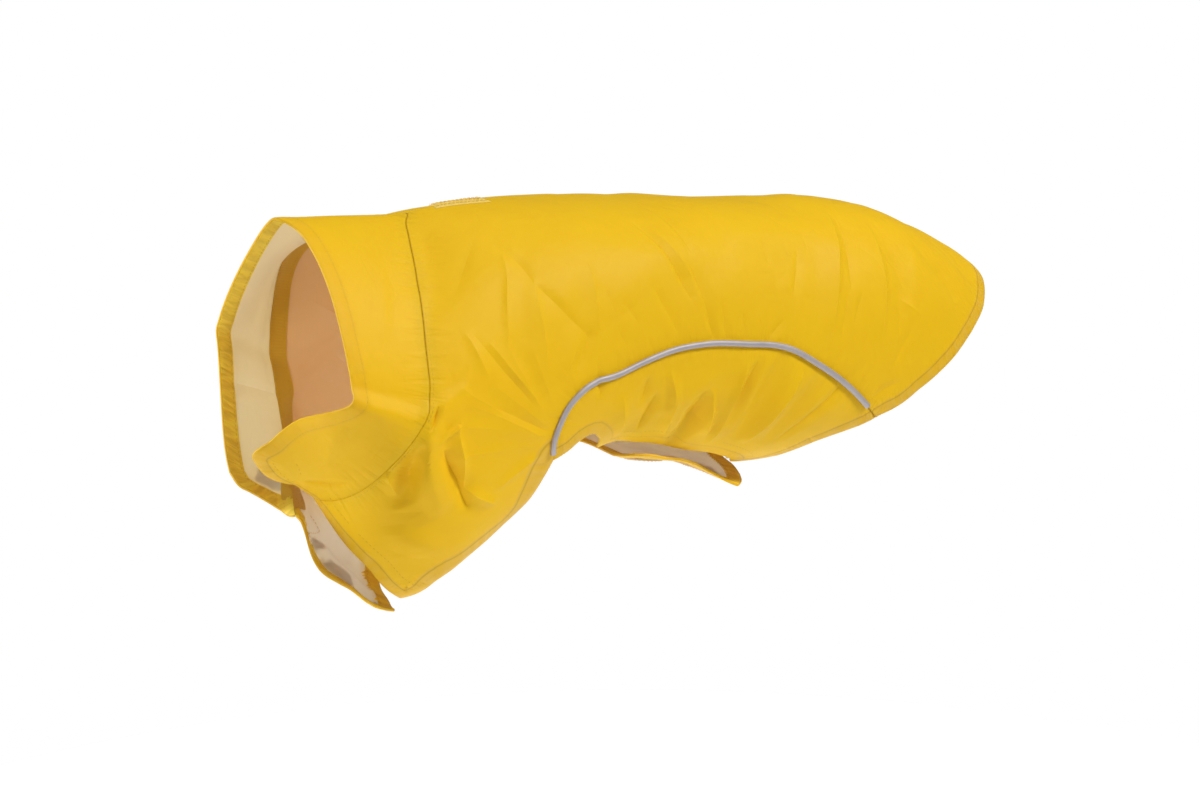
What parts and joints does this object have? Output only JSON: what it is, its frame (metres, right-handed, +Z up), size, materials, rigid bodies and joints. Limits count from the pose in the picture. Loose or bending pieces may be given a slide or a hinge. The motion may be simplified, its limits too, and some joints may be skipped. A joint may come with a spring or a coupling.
{
  "type": "dog raincoat",
  "caption": "Coated raincoat for a dog with a wide collar band, leash slot, piped side seams and flaps that close at the breast and under the belly, shown filled out but empty.",
  "frame": {"origin": "on the inner face of the back panel, on the middle line of the back, 190 mm behind the collar seam, where the coat lies on the dog's back", "axes": "+X towards the tail, +Y towards the dog's right side, +Z up"},
  "size_m": [0.5743, 0.188, 0.2558],
  "materials": {
    "coated_cloth": "yellow cloth with a soft semi-gloss coating outside and bare beige cloth inside",
    "hem_cloth": "the same coated cloth, turned in and stitched",
    "seam_tape": "matt woven tape",
    "reflective_piping": "matt grey reflective tape over a cord",
    "hook_and_loop": "cream hook-and-loop tape"
  },
  "bodies": {
    "root": {"back_panel": "coated_cloth", "side_panel_left": "coated_cloth", "side_panel_right": "coated_cloth", "collar": "coated_cloth", "hem_collar": "hem_cloth", "hem_chest_left": "hem_cloth", "hem_chest_right": "hem_cloth", "hem_side_left": "hem_cloth", "hem_side_right": "hem_cloth", "hem_tail": "hem_cloth", "collar_seam_tape": "seam_tape", "leash_welt": "hem_cloth", "piping_left": "reflective_piping", "piping_right": "reflective_piping", "hook_chest_upper": "hook_and_loop", "hook_chest_lower": "hook_and_loop", "hook_belly_front": "hook_and_loop", "hook_belly_rear": "hook_and_loop", "hook_collar": "hook_and_loop", "loop_chest_upper": "hook_and_loop", "loop_chest_lower": "hook_and_loop", "loop_belly_front": "hook_and_loop", "loop_belly_rear": "hook_and_loop", "loop_collar": "hook_and_loop"}
  },
  "joints": []
}
